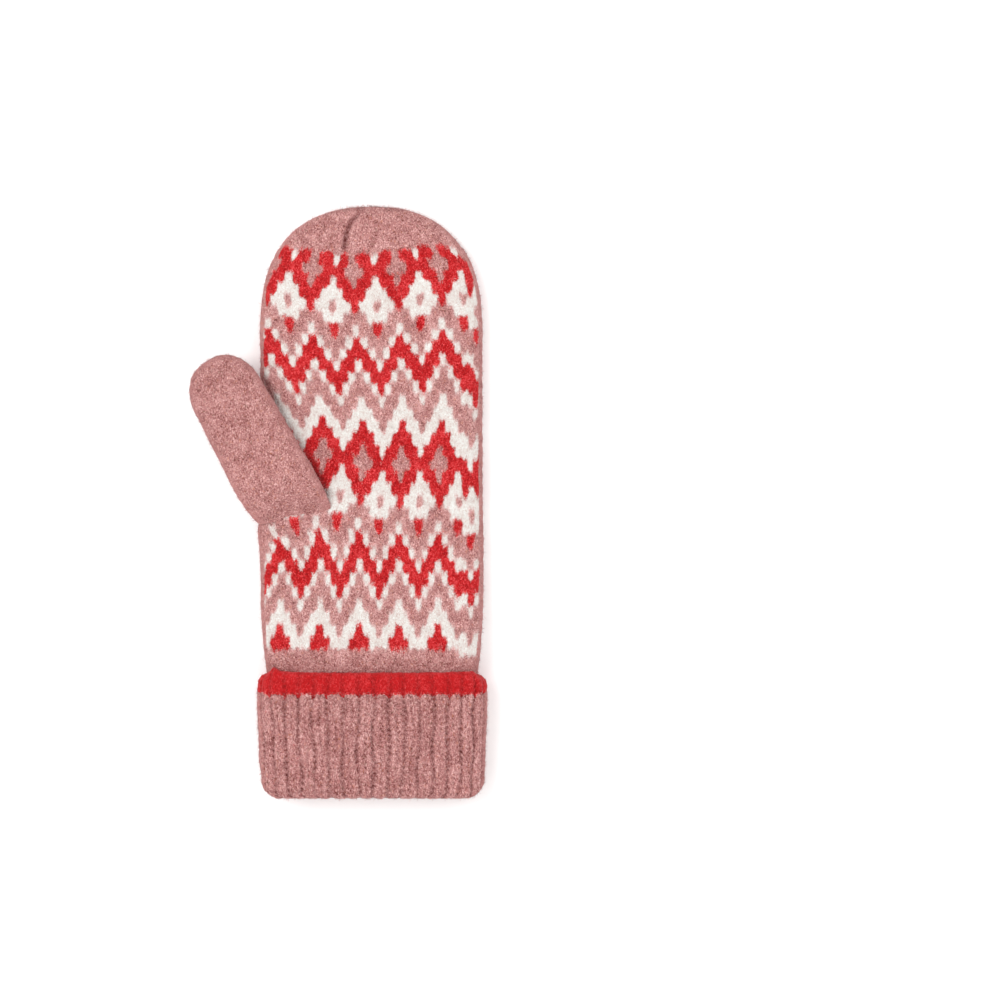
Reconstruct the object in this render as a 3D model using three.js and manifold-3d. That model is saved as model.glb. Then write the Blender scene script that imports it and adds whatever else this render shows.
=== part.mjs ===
import * as THREE from 'three';
import { mergeVertices } from 'three/addons/utils/BufferGeometryUtils.js';
import Module from 'manifold-3d';

const wasm = await Module();
wasm.setup();

// Sizes in millimetres. The left-hand mitten lies palm up. +Y runs from the folded wrist edge to
// the crown, +Z points up from the surface it lies on, and x = 0 is the middle of the hand.
const MITTEN_LENGTH = 270;
const HAND_WIDTH = 101;
const HAND_THICKNESS = 16;
const HAND_WALL = 3.2;
const HAND_LEAN = 1;
const HAND_TUCK = 14;
const CROWN_HEIGHT = 57;

const CUFF_HEIGHT = 58;
const CUFF_WALL = 3.5;
const CUFF_BULGE = 0.5;
const CUFF_BOTTOM_CORNER = 5.5;
const CUFF_TOP_CORNER = 3;
const EDGE_HEIGHT = 10;
const RIB_DEPTH = 1;

const THUMB_LENGTH = 83;
const THUMB_WIDTH = 36;
const THUMB_THICKNESS = 13;
const THUMB_WALL = 2.6;
const THUMB_TIP = 21;
const THUMB_HOLE_LENGTH = 13;
const THUMB_HOLE_WIDTH = 19;
const THUMB_OVERHANG_REACH = 12;

// Room between two pieces, and how far the knit is pressed flat where it rests
const GAP = 0.3;
const PRESSED = 0.3;

// Numbers and shares without a unit
const RIBS_ROUND = 36;
const POINTS_PER_RIB = 4;
const HAND_POINTS_ROUND = 48;
const THUMB_POINTS_ROUND = 28;
const HOLE_POINTS_ROUND = 20;
const CROWN_RINGS = 9;
const TIP_RINGS = 5;
const LAST_RING = 0.6;
const FOLD_STEPS = 4;
const CURVE_SAMPLES = 240;
const CROWN_ROUNDNESS = 2.45;
const CROWN_THINNING = 0.55;
const HAND_SQUARENESS = 10;
const THUMB_SQUARENESS = 4;
const END_SQUARENESS = 2.6;
const THUMB_ROUNDNESS = 2.35;
const THUMB_TURN = THREE.MathUtils.degToRad(29);
const THUMB_BASE_SHARE = 0.455;
const THUMB_ASIDE_SHARE = 0.703;
const THUMB_BASE_SKEW = -0.38;
const THUMB_SKEW_REACH = 0.5;
const THUMB_OVERHANG_SLOPE = 0.32;
const THUMB_OVERHANG_START = 0.8;
const THUMB_HOLE_START = 0.08;
const THUMB_HOLE_ASIDE = 0.14;
const WRIST_THICKNESS_SHARE = 1.06;

// The hand from the cuff's edge to the start of the crown: along is a share of that length, width
// and thick are shares of the hand's, rise is the share of the lift on to the cuff's inner layer
const HAND_LEVELS = [
  { along: 0.0, width: 0.955, thick: WRIST_THICKNESS_SHARE, rise: 1.0 },
  { along: 0.05, width: 0.97, thick: 1.05, rise: 0.92 },
  { along: 0.11, width: 0.987, thick: 1.02, rise: 0.68 },
  { along: 0.19, width: 1.0, thick: 1.0, rise: 0.32 },
  { along: 0.27, width: 1.004, thick: 0.99, rise: 0.08 },
  { along: 0.36, width: 1.002, thick: 0.99, rise: 0.0 },
  { along: 0.5, width: 1.0, thick: 1.0, rise: 0.0 },
  { along: 0.66, width: 0.998, thick: 1.0, rise: 0.0 },
  { along: 0.83, width: 1.0, thick: 1.0, rise: 0.0 },
];

// The thumb from its root: along is a share of its length, width and thick are shares of its own
const THUMB_LEVELS = [
  { along: 0.0, width: 0.84, thick: 0.12 },
  { along: 0.025, width: 0.93, thick: 0.42 },
  { along: 0.07, width: 0.99, thick: 0.74 },
  { along: 0.14, width: 1.01, thick: 0.93 },
  { along: 0.24, width: 1.0, thick: 1.0 },
  { along: 0.42, width: 0.98, thick: 1.0 },
  { along: 0.6, width: 0.965, thick: 1.0 },
];
const THUMB_CAVITY_FROM = 2;
const THUMB_TIP_WIDTH = 0.93;

// Folds and dents of the hand: side is 1 on the palm and -1 on the back, across and along say where
// the crease starts and ends as shares of half the width and of the length from the crown's tip,
// deep is a share of the wall, wide a share of half the width
const CREASES = [
  { side: 1, across: -0.1, along: 0.0, endAcross: -0.27, endAlong: 0.085, deep: 0.62, wide: 0.06 },
  { side: 1, across: 0.12, along: 0.0, endAcross: 0.2, endAlong: 0.05, deep: 0.25, wide: 0.06 },
  { side: -1, across: -0.3, along: 0.0, endAcross: -0.42, endAlong: 0.07, deep: 0.4, wide: 0.06 },
  { side: -1, across: -0.1, along: 0.0, endAcross: -0.12, endAlong: 0.09, deep: 0.55, wide: 0.06 },
  { side: -1, across: 0.1, along: 0.0, endAcross: 0.14, endAlong: 0.08, deep: 0.5, wide: 0.06 },
  { side: -1, across: 0.3, along: 0.0, endAcross: 0.4, endAlong: 0.06, deep: 0.4, wide: 0.06 },
  { side: 1, across: 0.1, along: 0.72, endAcross: 0.5, endAlong: 0.68, deep: 0.22, wide: 0.2 },
  { side: 1, across: 0.3, along: 0.36, endAcross: 0.6, endAlong: 0.5, deep: 0.2, wide: 0.24 },
];

// Colours of the yarns
const ROSE = 0xc4898a;
const RED = 0xcb2a30;

// Sizes that follow from the ones above
const handLength = MITTEN_LENGTH - CUFF_HEIGHT - CROWN_HEIGHT;
const crownStart = MITTEN_LENGTH - CROWN_HEIGHT;
const wristHalfWidth = (HAND_WIDTH / 2) * HAND_LEVELS[0].width;
const wristHalfThick = (HAND_THICKNESS / 2) * WRIST_THICKNESS_SHARE;
const outerLayer = GAP + CUFF_WALL;
const cuffCentre = wristHalfThick + outerLayer + RIB_DEPTH / 2 - PRESSED;
const foldRadius = CUFF_WALL + GAP / 2;
const cuffPoints = RIBS_ROUND * POINTS_PER_RIB;
const palmHeight = HAND_THICKNESS - PRESSED;

// A flattened oval seen along Y, as points spaced evenly along it, each with its outward normal
function oval(halfWidth, halfThick, squareness, count) {
  const fine = [];
  for (let i = 0; i < CURVE_SAMPLES; i += 1) {
    const turn = (i / CURVE_SAMPLES) * 2 * Math.PI;
    const reach = Math.cos(turn);
    const bulge = Math.sqrt(Math.max(0, 1 - Math.abs(reach) ** squareness));
    fine.push(new THREE.Vector2(halfWidth * reach, halfThick * bulge * Math.sign(Math.sin(turn))));
  }
  const lengths = [0];
  for (let i = 1; i <= CURVE_SAMPLES; i += 1) {
    lengths.push(lengths[i - 1] + fine[i % CURVE_SAMPLES].distanceTo(fine[i - 1]));
  }
  const whole = lengths[CURVE_SAMPLES];
  const at = (length) => {
    const wanted = ((length % whole) + whole) % whole;
    let step = 1;
    while (lengths[step] < wanted) step += 1;
    const share = (wanted - lengths[step - 1]) / (lengths[step] - lengths[step - 1]);
    return fine[step - 1].clone().lerp(fine[step % CURVE_SAMPLES], share);
  };
  const points = [];
  for (let i = 0; i < count; i += 1) {
    const here = (i / count) * whole;
    const point = at(here);
    const ahead = at(here + whole / CURVE_SAMPLES).sub(at(here - whole / CURVE_SAMPLES));
    points.push({ point, normal: new THREE.Vector2(ahead.y, -ahead.x).normalize() });
  }
  return points;
}

// A skin through rings that all have the same number of points. A closed run joins its last ring to
// its first, and an open one gets a fan over each end.
function skin(rings, closed) {
  const count = rings[0].length;
  const positions = rings.flat().flatMap((point) => [point.x, point.y, point.z]);
  const index = [];
  const steps = closed ? rings.length : rings.length - 1;
  for (let r = 0; r < steps; r += 1) {
    const here = r * count;
    const next = ((r + 1) % rings.length) * count;
    for (let i = 0; i < count; i += 1) {
      const j = (i + 1) % count;
      index.push(here + i, next + j, here + j);
      index.push(here + i, next + i, next + j);
    }
  }
  if (!closed) {
    [0, rings.length - 1].forEach((r) => {
      const centre = new THREE.Vector3();
      rings[r].forEach((point) => centre.add(point));
      centre.divideScalar(count);
      const tip = positions.length / 3;
      positions.push(centre.x, centre.y, centre.z);
      for (let i = 0; i < count; i += 1) {
        const j = (i + 1) % count;
        const [a, b] = r === 0 ? [i, j] : [j, i];
        index.push(tip, r * count + a, r * count + b);
      }
    });
  }
  const geometry = new THREE.BufferGeometry();
  geometry.setAttribute('position', new THREE.Float32BufferAttribute(positions, 3));
  geometry.setIndex(index);
  return geometry;
}

// The solid of a closed mesh, and back
function solid(geometry) {
  const bare = geometry.clone();
  bare.deleteAttribute('normal');
  bare.deleteAttribute('uv');
  const merged = mergeVertices(bare);
  return new wasm.Manifold(new wasm.Mesh({
    numProp: 3,
    vertProperties: new Float32Array(merged.attributes.position.array),
    triVerts: new Uint32Array(merged.index.array),
  }));
}

function meshOf(name, geometry, color) {
  geometry.computeVertexNormals();
  const material = new THREE.MeshStandardMaterial({ color, roughness: 0.95, metalness: 0 });
  const mesh = new THREE.Mesh(geometry, material);
  mesh.name = name;
  return mesh;
}

function geometryOf(body) {
  const { vertProperties, triVerts } = body.getMesh();
  const geometry = new THREE.BufferGeometry();
  geometry.setAttribute('position', new THREE.Float32BufferAttribute(vertProperties, 3));
  geometry.setIndex(new THREE.BufferAttribute(new Uint32Array(triVerts), 1));
  return geometry;
}

const mix = THREE.MathUtils.lerp;
const fade = (value) => THREE.MathUtils.smoothstep(value, 0, 1);

// The turn from a rounded end's side towards its tip, where the last ring leaves a small cap
const turnOf = (ring, rings) => (ring / (rings - 1 + LAST_RING)) * (Math.PI / 2);

// The levels of the hand from the wrist to the crown: height along Y, half sizes and centre height
function handLevels() {
  const halfWidth = HAND_WIDTH / 2;
  const halfThick = HAND_THICKNESS / 2;
  const flat = (thick) => thick - PRESSED;
  const tucked = { ...HAND_LEVELS[0], along: -HAND_TUCK / handLength };
  const levels = [tucked, ...HAND_LEVELS].map(({ along, width, thick, rise }) => ({
    y: CUFF_HEIGHT + along * handLength,
    width: halfWidth * width,
    thick: halfThick * thick,
    centre: mix(flat(halfThick * thick), cuffCentre, rise),
    squareness: HAND_SQUARENESS,
  }));
  for (let ring = 0; ring < CROWN_RINGS; ring += 1) {
    const turn = turnOf(ring, CROWN_RINGS);
    const width = Math.cos(turn) ** (2 / CROWN_ROUNDNESS);
    const thick = halfThick * Math.cos(turn) ** CROWN_THINNING;
    levels.push({
      y: crownStart + CROWN_HEIGHT * Math.sin(turn) ** (2 / CROWN_ROUNDNESS),
      width: halfWidth * width,
      thick,
      centre: mix(flat(thick), flat(halfThick), 0.5 * (1 - Math.cos(turn))),
      squareness: mix(END_SQUARENESS, HAND_SQUARENESS, width),
    });
  }
  return levels;
}

// How deep the creases are at a place on the hand's outside
function creaseDepth(x, y, facing) {
  let depth = 0;
  CREASES.forEach(({ side, across, along, endAcross, endAlong, deep, wide }) => {
    if (side * facing <= 0) return;
    const from = new THREE.Vector2(across * HAND_WIDTH / 2, MITTEN_LENGTH * (1 - along));
    const to = new THREE.Vector2(endAcross * HAND_WIDTH / 2, MITTEN_LENGTH * (1 - endAlong));
    const line = to.clone().sub(from);
    const here = new THREE.Vector2(x, y).sub(from);
    const share = THREE.MathUtils.clamp(here.dot(line) / line.lengthSq(), 0, 1);
    const distance = here.sub(line.multiplyScalar(share)).length() / (wide * HAND_WIDTH / 2);
    depth += deep * HAND_WALL * Math.exp(-distance * distance) * Math.abs(facing);
  });
  return depth;
}

// One ring of the hand, its wall's inside where inset is set
function handRing(level, inset) {
  const width = level.width - inset;
  const thick = level.thick - inset;
  return oval(width, thick, level.squareness, HAND_POINTS_ROUND).map(({ point, normal }) => {
    const lean = HAND_LEAN * Math.max(0, level.y - CUFF_HEIGHT) / MITTEN_LENGTH;
    const depth = inset ? 0 : creaseDepth(point.x, level.y, normal.y);
    const x = point.x - normal.x * depth - lean;
    const z = level.centre + point.y - normal.y * depth;
    return new THREE.Vector3(x, level.y, Math.max(0, z));
  });
}

// The inside follows the outside one wall further in, and ends one wall below the crown's tip
function handShell() {
  const levels = handLevels();
  const tipHeight = CROWN_HEIGHT - HAND_WALL;
  const inner = levels.map((level, i) => {
    const crown = i - (levels.length - CROWN_RINGS);
    if (crown <= 0) return handRing(level, HAND_WALL);
    const turn = turnOf(crown, CROWN_RINGS);
    const y = crownStart + tipHeight * Math.sin(turn) ** (2 / CROWN_ROUNDNESS);
    const thick = HAND_WALL + (HAND_THICKNESS / 2 - HAND_WALL) * Math.cos(turn) ** CROWN_THINNING;
    const width = HAND_WALL + (HAND_WIDTH / 2 - HAND_WALL) * Math.cos(turn) ** (2 / CROWN_ROUNDNESS);
    return handRing({ ...level, y, thick, width }, HAND_WALL);
  });
  const outer = levels.map((level) => handRing(level, 0));
  return skin([...inner.reverse(), ...outer], false);
}

// What the thumb does past the hand's edge: it sinks towards the surface
function overhang(x) {
  const past = Math.max(0, -x - THUMB_OVERHANG_START * HAND_WIDTH / 2);
  return THUMB_OVERHANG_SLOPE * (Math.hypot(past, THUMB_OVERHANG_REACH) - THUMB_OVERHANG_REACH);
}

// A place given along and across the thumb, set down on the palm
function onPalm(across, along, height) {
  const place = new THREE.Vector2(across, along).rotateAround(new THREE.Vector2(), THUMB_TURN);
  const x = place.x - THUMB_ASIDE_SHARE * HAND_WIDTH / 2;
  const y = place.y + CUFF_HEIGHT + THUMB_BASE_SHARE * handLength;
  return new THREE.Vector3(x, y, palmHeight + GAP + height - overhang(x));
}

// The thumb's levels from its root to its tip
function thumbLevels() {
  const halfWidth = THUMB_WIDTH / 2;
  const halfThick = THUMB_THICKNESS / 2;
  const levels = THUMB_LEVELS.map(({ along, width, thick }) => ({
    y: along * THUMB_LENGTH,
    width: width * halfWidth,
    thick: thick * halfThick,
    squareness: THUMB_SQUARENESS,
  }));
  for (let ring = 0; ring < TIP_RINGS; ring += 1) {
    const turn = turnOf(ring, TIP_RINGS);
    const width = Math.cos(turn) ** (2 / THUMB_ROUNDNESS);
    levels.push({
      y: THUMB_LENGTH - THUMB_TIP + THUMB_TIP * Math.sin(turn) ** (2 / THUMB_ROUNDNESS),
      width: halfWidth * THUMB_TIP_WIDTH * width,
      thick: halfThick * Math.cos(turn) ** CROWN_THINNING,
      squareness: mix(END_SQUARENESS, THUMB_SQUARENESS, width),
    });
  }
  return levels;
}

function thumbRing(level, inset) {
  const skewed = 1 - fade(level.y / (THUMB_LENGTH * THUMB_SKEW_REACH));
  const width = level.width - inset;
  const thick = level.thick - inset;
  const centre = mix(level.thick, THUMB_THICKNESS / 2, fade(level.y / THUMB_LENGTH - 0.5)) - PRESSED;
  return oval(width, thick, level.squareness, THUMB_POINTS_ROUND).map(({ point }) => {
    const along = level.y + THUMB_BASE_SKEW * point.x * skewed;
    return onPalm(point.x, along, Math.max(0, centre + point.y));
  });
}

// The thumb is a tube closed at its tip, whose root folds down on to the palm
function thumbTube() {
  const levels = thumbLevels();
  const outer = levels.map((level) => thumbRing(level, 0));
  const tipStart = THUMB_LEVELS.length;
  const inner = levels.slice(THUMB_CAVITY_FROM).map((level, i) => {
    const tip = i + THUMB_CAVITY_FROM - tipStart;
    if (tip <= 0) return thumbRing(level, THUMB_WALL);
    const turn = turnOf(tip, TIP_RINGS);
    const reach = (THUMB_TIP - THUMB_WALL) * Math.sin(turn) ** (2 / THUMB_ROUNDNESS);
    const halfWidth = (THUMB_WIDTH / 2) * THUMB_TIP_WIDTH - THUMB_WALL;
    const halfThick = THUMB_THICKNESS / 2 - THUMB_WALL;
    return thumbRing({
      y: THUMB_LENGTH - THUMB_TIP + reach,
      width: THUMB_WALL + halfWidth * Math.cos(turn) ** (2 / THUMB_ROUNDNESS),
      thick: THUMB_WALL + halfThick * Math.cos(turn) ** CROWN_THINNING,
      squareness: level.squareness,
    }, THUMB_WALL);
  });
  return { outer: skin(outer, false), inner: skin(inner, false) };
}

// The way from the hand's hollow into the thumb's, through the palm's wall and the thumb's underside
function thumbHole() {
  const along = THUMB_HOLE_START * THUMB_LENGTH + THUMB_HOLE_LENGTH / 2;
  const rings = [PRESSED - palmHeight / 2, THUMB_THICKNESS / 2].map((height) => {
    const ring = [];
    for (let i = 0; i < HOLE_POINTS_ROUND; i += 1) {
      const turn = (i / HOLE_POINTS_ROUND) * 2 * Math.PI;
      const across = THUMB_HOLE_ASIDE * THUMB_WIDTH + (THUMB_HOLE_WIDTH / 2) * Math.cos(turn);
      const skew = THUMB_BASE_SKEW * across;
      ring.push(onPalm(across, along - (THUMB_HOLE_LENGTH / 2) * Math.sin(turn) + skew, height));
    }
    return ring;
  });
  return skin(rings, false);
}

// One ring of the cuff: out is measured from the hand's outside at the wrist, ribbed is the share
// of the ribs' depth, corner the radius that rounds the cuff's corners seen from above
function cuffRing({ y, out, ribbed, corner }) {
  const width = wristHalfWidth + out;
  const thick = wristHalfThick + out;
  return oval(width, thick, HAND_SQUARENESS, cuffPoints).map(({ point, normal }, i) => {
    const rib = ribbed * (RIB_DEPTH / 2) * Math.cos((2 * Math.PI * i) / POINTS_PER_RIB);
    const x = point.x + normal.x * rib;
    const z = cuffCentre + point.y + normal.y * rib;
    const radius = Math.abs(corner);
    const past = Math.max(0, Math.abs(point.x) - (width - radius));
    const turned = radius - Math.sqrt(Math.max(0, radius * radius - past * past));
    return new THREE.Vector3(x, y + Math.sign(corner) * turned, Math.max(0, z));
  });
}

// How far the turned-up layer swells out between the fold and its edge
const swell = (y) => CUFF_BULGE * Math.sin(Math.PI * Math.min(1, Math.max(0, y / CUFF_HEIGHT)));

// The cuff is one wall, folded at the bottom and turned up over itself
function cuffWall() {
  const low = CUFF_BOTTOM_CORNER;
  const ribTop = CUFF_HEIGHT - EDGE_HEIGHT - GAP;
  const innerTop = CUFF_HEIGHT - HAND_TUCK - GAP;
  const rings = [{ y: innerTop, out: -CUFF_WALL, ribbed: 0, corner: 0 }];
  for (let step = 0; step <= FOLD_STEPS; step += 1) {
    const turn = (step / FOLD_STEPS) * Math.PI;
    rings.push({
      y: foldRadius * (1 - Math.sin(turn)),
      out: GAP / 2 - foldRadius * Math.cos(turn),
      ribbed: step / FOLD_STEPS,
      corner: low,
    });
  }
  [0.35, 0.7, 1].forEach((share) => {
    const y = mix(foldRadius, ribTop, share);
    rings.push({ y, out: outerLayer + swell(y), ribbed: 1, corner: 0 });
  });
  rings.push({ y: ribTop, out: GAP, ribbed: 0, corner: 0 });
  rings.push({ y: foldRadius, out: GAP, ribbed: 0, corner: low });
  rings.push({ y: foldRadius, out: 0, ribbed: 0, corner: low });
  rings.push({ y: innerTop, out: 0, ribbed: 0, corner: 0 });
  return skin(rings.map(cuffRing), true);
}

// The knitted border that ends the turned-up layer
function cuffEdge() {
  const bottom = CUFF_HEIGHT - EDGE_HEIGHT;
  const shoulder = CUFF_HEIGHT - CUFF_WALL / 3;
  const high = -CUFF_TOP_CORNER;
  return skin([
    { y: bottom, out: GAP, ribbed: 0, corner: 0 },
    { y: bottom, out: outerLayer + swell(bottom), ribbed: 1, corner: 0 },
    { y: shoulder, out: outerLayer + swell(shoulder), ribbed: 0.7, corner: high },
    { y: CUFF_HEIGHT, out: GAP + CUFF_WALL * 0.65, ribbed: 0.4, corner: high },
    { y: CUFF_HEIGHT, out: GAP, ribbed: 0, corner: high },
  ].map(cuffRing), true);
}

const hole = solid(thumbHole());
const tube = thumbTube();
const hand = solid(handShell()).subtract(hole);
const thumb = solid(tube.outer).subtract(solid(tube.inner)).subtract(hole);

const mitten = new THREE.Group();
mitten.add(meshOf('hand', geometryOf(hand), ROSE));
mitten.add(meshOf('thumb', geometryOf(thumb), ROSE));
mitten.add(meshOf('cuff', cuffWall(), ROSE));
mitten.add(meshOf('cuff_edge', cuffEdge(), RED));

// The origin is the middle of the mitten's outline, on the surface that it lies on
const box = new THREE.Box3().setFromObject(mitten);
const middle = box.getCenter(new THREE.Vector3());
mitten.position.set(-middle.x, -middle.y, -box.min.z);

export default mitten;
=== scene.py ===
# %% [markdown]
# # A knitted mitten, palm up
#
# The mitten is one tube of brushed wool with a patterned hand, a plain thumb laid across the palm
# and a ribbed cuff that is turned up, so that its contrasting edge shows. The four CAD solids give
# every size; this scene knits over them, stitch by stitch, and adds the hairs of the wool.

# %% Load the frame
import bpy
import numpy as np
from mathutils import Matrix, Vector, noise


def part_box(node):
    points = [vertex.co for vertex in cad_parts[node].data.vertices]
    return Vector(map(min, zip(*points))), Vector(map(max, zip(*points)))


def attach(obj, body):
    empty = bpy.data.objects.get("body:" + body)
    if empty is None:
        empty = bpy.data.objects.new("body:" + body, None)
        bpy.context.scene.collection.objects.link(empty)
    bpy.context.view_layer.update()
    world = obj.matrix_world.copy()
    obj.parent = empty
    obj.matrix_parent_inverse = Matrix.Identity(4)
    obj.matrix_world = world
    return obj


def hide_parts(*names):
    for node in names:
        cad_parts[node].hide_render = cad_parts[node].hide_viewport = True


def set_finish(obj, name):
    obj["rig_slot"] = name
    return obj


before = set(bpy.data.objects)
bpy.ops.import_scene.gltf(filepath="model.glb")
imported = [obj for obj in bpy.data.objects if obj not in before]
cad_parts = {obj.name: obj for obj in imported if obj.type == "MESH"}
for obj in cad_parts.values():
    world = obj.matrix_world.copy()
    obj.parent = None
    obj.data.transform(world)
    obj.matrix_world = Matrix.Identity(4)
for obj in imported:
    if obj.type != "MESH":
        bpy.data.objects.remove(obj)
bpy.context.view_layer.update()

CUFF_LOW, CUFF_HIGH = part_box("cuff")
MM = 0.001
MIDDLE = (CUFF_LOW.x + CUFF_HIGH.x) / 2
FOLD = CUFF_LOW.y
print("nodes:", sorted(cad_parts))
print("hand's middle at x", round(MIDDLE, 5), "and wrist fold at y", round(FOLD, 5))

# %% [markdown]
# ## The camera
#
# The photograph looks straight down on a flat lay. A long lens three metres up keeps the sides of
# the mitten upright, and the camera stands over the middle of the picture, beside the mitten.

# %% Camera
FRAME_WIDTH = 0.457
CAMERA_ASIDE, CAMERA_UP, CAMERA_HEIGHT = 0.0740, 0.0011, 3.0
PALM_HEIGHT = 0.012
SENSOR = 36
place = (CAMERA_ASIDE, CAMERA_UP, CAMERA_HEIGHT)
bpy.ops.object.camera_add(location=place, rotation=(0, 0, 0))
camera = bpy.context.object
camera.name = "camera"
camera.data.sensor_width = SENSOR
camera.data.lens = SENSOR * (CAMERA_HEIGHT - PALM_HEIGHT) / FRAME_WIDTH
camera.data.clip_end = 50
bpy.context.scene.camera = camera
print("lens", round(camera.data.lens, 1), "mm")

# %% [markdown]
# ## Floor and light
#
# A pale sweep and soft light from a large window-like panel at the upper left, filled in by a
# bright room, leave the colours true and give the stitches small soft shadows.

# %% Floor, lights and the surrounding room
ROOM_LIGHT, FLOOR_GLOW = 1.02, 0.11


def deselect():
    if bpy.context.object and bpy.context.object.mode != "OBJECT":
        bpy.ops.object.mode_set(mode="OBJECT")
    bpy.ops.object.select_all(action="DESELECT")


def panel(name, place, width, power):
    """A square soft light at a place in metres, turned towards the mitten"""
    deselect()
    turn = Vector(place).to_track_quat("Z", "Y").to_euler()
    bpy.ops.object.light_add(type="AREA", location=place, rotation=turn)
    light = bpy.context.object
    light.name = name
    light.data.shape = "SQUARE"
    light.data.size = width
    light.data.energy = power


deselect()
bpy.ops.mesh.primitive_grid_add(x_subdivisions=8, y_subdivisions=8, size=8, location=(0, 0, 0))
floor = bpy.context.object
floor.name = "floor"
panel("window", (-0.95, 0.45, 1.9), 1.1, 18)
panel("fill", (1.3, -0.9, 1.9), 1.6, 9)
room = bpy.data.worlds.new("room")
room.use_nodes = True
room.node_tree.nodes["Background"].inputs["Color"].default_value = (1, 1, 1, 1)
room.node_tree.nodes["Background"].inputs["Strength"].default_value = ROOM_LIGHT
bpy.context.scene.world = room
bpy.context.scene.view_settings.view_transform = "Standard"

# %% [markdown]
# ## A small language for finishes
#
# Wool needs a lot of arithmetic on noise. A wire that understands Python's signs keeps the sums
# readable: each sign adds one Math node.

# %% Wires and finishes


class Wire:
    """A number or colour on its way through a finish"""

    def __init__(self, finish, socket):
        self.finish, self.socket = finish, socket

    def sum(self, operation, first, second):
        return self.finish.node("Math", {"operation": operation}, {0: first, 1: second})

    def __add__(self, other):
        return self.sum("ADD", self, other)

    def __radd__(self, other):
        return self.sum("ADD", other, self)

    def __sub__(self, other):
        return self.sum("SUBTRACT", self, other)

    def __rsub__(self, other):
        return self.sum("SUBTRACT", other, self)

    def __mul__(self, other):
        return self.sum("MULTIPLY", self, other)


class Finish:
    """One material, built node by node on its own shader"""

    def __init__(self, name):
        self.material = bpy.data.materials.new(name)
        self.material.use_nodes = True
        self.tree = self.material.node_tree
        self.shader = self.tree.nodes["Principled BSDF"]

    def node(self, kind, settings=None, sockets=None, output=0):
        made = self.tree.nodes.new("ShaderNode" + kind)
        for name, value in (settings or {}).items():
            setattr(made, name, value)
        for name, value in (sockets or {}).items():
            self.set(made.inputs[name], value)
        return Wire(self, made.outputs[output])

    def set(self, socket, value):
        if isinstance(value, Wire):
            self.tree.links.new(value.socket, socket)
        else:
            socket.default_value = value

    def mix(self, share, first, second):
        return self.node("Mix", {"data_type": "RGBA"}, {0: share, 6: first, 7: second}, 2)

    def step(self, value, low, high):
        """0 below low, 1 above high and a soft rise between"""
        settings = {"interpolation_type": "SMOOTHSTEP"}
        return self.node("MapRange", settings, {"Value": value, "From Min": low, "From Max": high})

    def noise(self, place, grain, detail=2.0, twist=0.0):
        """Smooth noise whose lumps are about grain millimetres wide"""
        sockets = {"Vector": place, "Scale": 1 / (grain * MM), "Detail": detail}
        sockets["Distortion"] = twist
        return self.node("TexNoise", {"noise_dimensions": "3D"}, sockets)

    def place(self, drawn=0.75):
        """The place on the object, drawn out along the mitten, as the brush does"""
        place = self.node("TexCoord", output=3)
        return self.node("Mapping", None, {"Vector": place, "Scale": (1, drawn, 1)})

    def attribute(self, name):
        return self.node("Attribute", {"attribute_name": name}, None, 2)


def dye(red, green, blue):
    """A colour as it looks on a screen, 0 to 255, as the light that it reflects"""
    shares = [value / 255 for value in (red, green, blue)]
    return (*[s / 12.92 if s < 0.04045 else ((s + 0.055) / 1.055) ** 2.4 for s in shares], 1)


paper = Finish("pale_floor")
paper.set(paper.shader.inputs["Roughness"], 0.9)
grain = paper.noise(paper.node("TexCoord", output=3), 40)
pale = paper.mix(grain, dye(246, 246, 246), dye(250, 250, 249))
paper.set(paper.shader.inputs["Base Color"], pale)
paper.set(paper.shader.inputs["Emission Color"], (1, 1, 1, 1))
paper.set(paper.shader.inputs["Emission Strength"], FLOOR_GLOW)
floor.data.materials.append(paper.material)
print("floor finish", paper.material.name)

# %% [markdown]
# ## Wool
#
# The rose yarn is a heather: pale and dark hairs carded together, with a stray hair of another
# colour here and there. Red and cream are dyed in one shade each and only vary a little. The same
# mottling serves all three, and a bump of the same grain makes the brushed surface matt.

# %% The yarns' colours
ROSE = {"dark": dye(104, 51, 49), "mid": dye(176, 119, 116), "light": dye(222, 175, 171)}
RED = {"dark": dye(128, 5, 8), "mid": dye(184, 17, 22), "light": dye(227, 80, 83)}
CREAM = {"dark": dye(198, 176, 170), "mid": dye(215, 209, 203), "light": dye(229, 230, 227)}
GRAIN_DEPTH = 0.35


def mottled(finish, place, tones, flecks):
    """A yarn's colour: its middle tone with dark and pale hairs, where flecks is their share"""
    fine = finish.noise(place, 0.54, 2.0, 1.4)
    broad = finish.noise(place, 4.5, 2.0)
    drift = fine + (broad - 0.5) * 0.22
    dark = (1 - finish.step(drift, 0.36, 0.47)) * flecks
    pale = finish.step(drift, 0.53, 0.63) * flecks
    return finish.mix(pale, finish.mix(dark, tones["mid"], tones["dark"]), tones["light"])


def strays(finish, place, colour):
    """A rare hair of brown or of grey green in the rose heather"""
    spot = finish.noise(place, 1.0, 1.0, 0.5)
    brown = finish.step(spot, 0.64, 0.70) * 0.4
    green = (1 - finish.step(spot, 0.30, 0.35)) * 0.45
    colour = finish.mix(brown, colour, dye(186, 118, 84))
    return finish.mix(green, colour, dye(138, 112, 94))


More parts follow.
